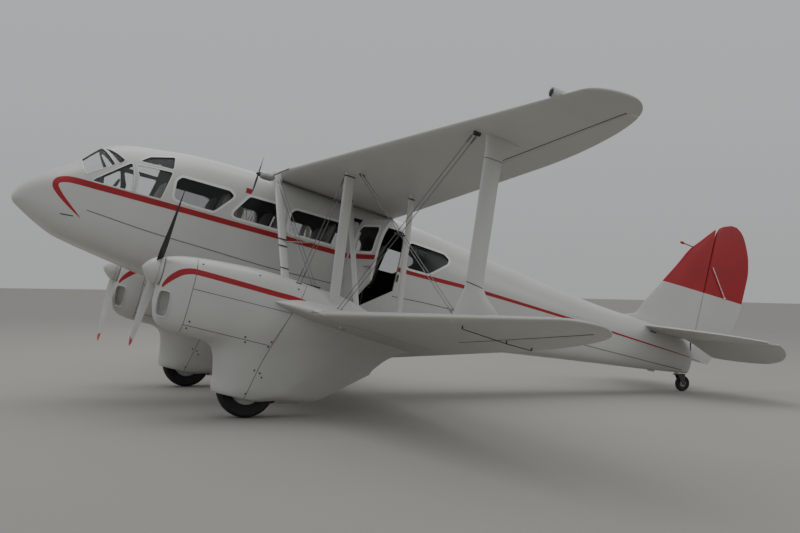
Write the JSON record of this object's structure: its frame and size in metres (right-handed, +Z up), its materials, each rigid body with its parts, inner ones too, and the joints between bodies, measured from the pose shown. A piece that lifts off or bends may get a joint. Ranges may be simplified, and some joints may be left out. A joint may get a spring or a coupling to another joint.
{
  "type": "twin-engine cabin biplane",
  "caption": "Twin-engine cabin biplane standing on faired main wheels and a castoring tail wheel, with a side door that opens and moving control surfaces.",
  "frame": {"origin": "on the ground below the middle of the overall length, on the centre plane", "axes": "+X aft, +Y to starboard, +Z up, standing on its wheels on level ground"},
  "size_m": [10.694, 14.6352, 3.1745],
  "materials": {
    "paint": "white gloss paint over doped fabric and sheet",
    "fin_paint": "deep red gloss paint",
    "glazing": "clear window sheet",
    "tyre": "black rubber with a painted hub",
    "propeller_metal": "painted light grey",
    "engine_metal": "dark cast metal",
    "steel": "streamlined steel, painted",
    "seat_leather": "light grey hide",
    "carpet": "dark grey floor covering"
  },
  "bodies": {
    "airframe": {"nose_cone": "paint", "fuselage_shell": "paint", "canopy": "paint", "cockpit_glass": "glazing", "cabin_glass_port": "glazing", "cabin_glass_starboard": "glazing", "rear_fuselage": "paint", "cabin_floor": "carpet", "pilot_seat": "seat_leather", "seats_port": "seat_leather", "seats_starboard": "seat_leather", "upper_centre_section": "paint", "lower_centre_section": "paint", "fin": "fin_paint", "generator_body": "steel", "upper_wing_port": "paint", "lower_wing_port": "paint", "cowling_port": "paint", "engine_port": "engine_metal", "nacelle_port": "paint", "front_strut_port": "paint", "rear_strut_port": "paint", "front_brace_port": "paint", "rear_brace_port": "paint", "outer_strut_port": "paint", "bracing_wires_port": "steel", "tailplane_port": "paint", "upper_wing_starboard": "paint", "lower_wing_starboard": "paint", "cowling_starboard": "paint", "engine_starboard": "engine_metal", "nacelle_starboard": "paint", "front_strut_starboard": "paint", "rear_strut_starboard": "paint", "front_brace_starboard": "paint", "rear_brace_starboard": "paint", "outer_strut_starboard": "paint", "bracing_wires_starboard": "steel", "tailplane_starboard": "paint"},
    "main_wheel_port": {"wheel_port": "tyre"},
    "airscrew_port": {"propeller_port": "propeller_metal"},
    "main_wheel_starboard": {"wheel_starboard": "tyre"},
    "airscrew_starboard": {"propeller_starboard": "propeller_metal"},
    "generator_airscrew": {"generator_propeller": "propeller_metal"},
    "tail_castor": {"tail_fork": "steel"},
    "tail_roller": {"tail_wheel": "tyre"},
    "rudder": {"rudder": "fin_paint"},
    "elevator_port": {"elevator_port": "paint"},
    "elevator_starboard": {"elevator_starboard": "paint"},
    "upper_aileron_port": {"upper_aileron_port": "paint"},
    "upper_aileron_starboard": {"upper_aileron_starboard": "paint"},
    "lower_aileron_port": {"lower_aileron_port": "paint"},
    "lower_aileron_starboard": {"lower_aileron_starboard": "paint"},
    "door": {"cabin_door": "paint", "door_glass": "glazing"}
  },
  "joints": [
    {"name": "wheel_port_spin", "type": "hinge", "parent": "airframe", "child": "main_wheel_port", "pos_m": [-2.86751, -1.853, 0.335], "axis": [0, 1, 0], "continuous": true},
    {"name": "propeller_port_spin", "type": "hinge", "parent": "airframe", "child": "airscrew_port", "pos_m": [-3.89342, -1.853, 1.64023], "axis": [0.9724, 0, -0.2332], "continuous": true},
    {"name": "wheel_starboard_spin", "type": "hinge", "parent": "airframe", "child": "main_wheel_starboard", "pos_m": [-2.86751, 1.853, 0.335], "axis": [0, 1, 0], "continuous": true},
    {"name": "propeller_starboard_spin", "type": "hinge", "parent": "airframe", "child": "airscrew_starboard", "pos_m": [-3.89342, 1.853, 1.64023], "axis": [0.9724, 0, -0.2332], "continuous": true},
    {"name": "generator_spin", "type": "hinge", "parent": "airframe", "child": "generator_airscrew", "pos_m": [-2.54543, -0.93, 2.83584], "axis": [0.9724, 0, -0.2332], "continuous": true},
    {"name": "tail_castor_swivel", "type": "hinge", "parent": "airframe", "child": "tail_castor", "pos_m": [4.09402, 0, 0.255], "axis": [0, 0, 1], "continuous": true},
    {"name": "tail_wheel_spin", "type": "hinge", "parent": "tail_castor", "child": "tail_roller", "pos_m": [4.19902, 0, 0.115], "axis": [0, 1, 0], "continuous": true},
    {"name": "rudder_turn", "type": "hinge", "parent": "airframe", "child": "rudder", "pos_m": [4.42576, 0, 0.90182], "axis": [0.2332, 0, 0.9724], "range_deg": [-25, 25]},
    {"name": "elevator_port_turn", "type": "hinge", "parent": "airframe", "child": "elevator_port", "pos_m": [4.12822, -1.2, 0.81892], "axis": [0, 1, 0], "range_deg": [-50, 0]},
    {"name": "elevator_starboard_turn", "type": "hinge", "parent": "airframe", "child": "elevator_starboard", "pos_m": [4.12822, 1.2, 0.81892], "axis": [0, 1, 0], "range_deg": [-50, 0]},
    {"name": "upper_aileron_port_turn", "type": "hinge", "parent": "airframe", "child": "upper_aileron_port", "pos_m": [-1.09166, -5.655, 2.81521], "axis": [0.044, 0.9971, -0.0613], "range_deg": [-20, 20]},
    {"name": "upper_aileron_starboard_turn", "type": "hinge", "parent": "airframe", "child": "upper_aileron_starboard", "pos_m": [-1.09166, 5.655, 2.81521], "axis": [-0.044, 0.9971, 0.0613], "range_deg": [-20, 20]},
    {"name": "lower_aileron_port_turn", "type": "hinge", "parent": "airframe", "child": "lower_aileron_port", "pos_m": [-1.30756, -5.635, 1.1152], "axis": [0.0517, 0.9959, -0.0742], "range_deg": [-20, 20]},
    {"name": "lower_aileron_starboard_turn", "type": "hinge", "parent": "airframe", "child": "lower_aileron_starboard", "pos_m": [-1.30756, 5.635, 1.1152], "axis": [-0.0517, 0.9959, 0.0742], "range_deg": [-20, 20]},
    {"name": "door_swing", "type": "hinge", "parent": "airframe", "child": "door", "pos_m": [-1.33094, -0.738, 1.87102], "axis": [-0.2332, 0, -0.9724], "range_deg": [-82, 8]}
  ],
  "couplings": [
    {"joint": "elevator_starboard_turn", "follows": "elevator_port_turn", "ratio": 1},
    {"joint": "lower_aileron_port_turn", "follows": "upper_aileron_port_turn", "ratio": 1},
    {"joint": "upper_aileron_starboard_turn", "follows": "upper_aileron_port_turn", "ratio": -1},
    {"joint": "lower_aileron_starboard_turn", "follows": "upper_aileron_port_turn", "ratio": -1}
  ]
}
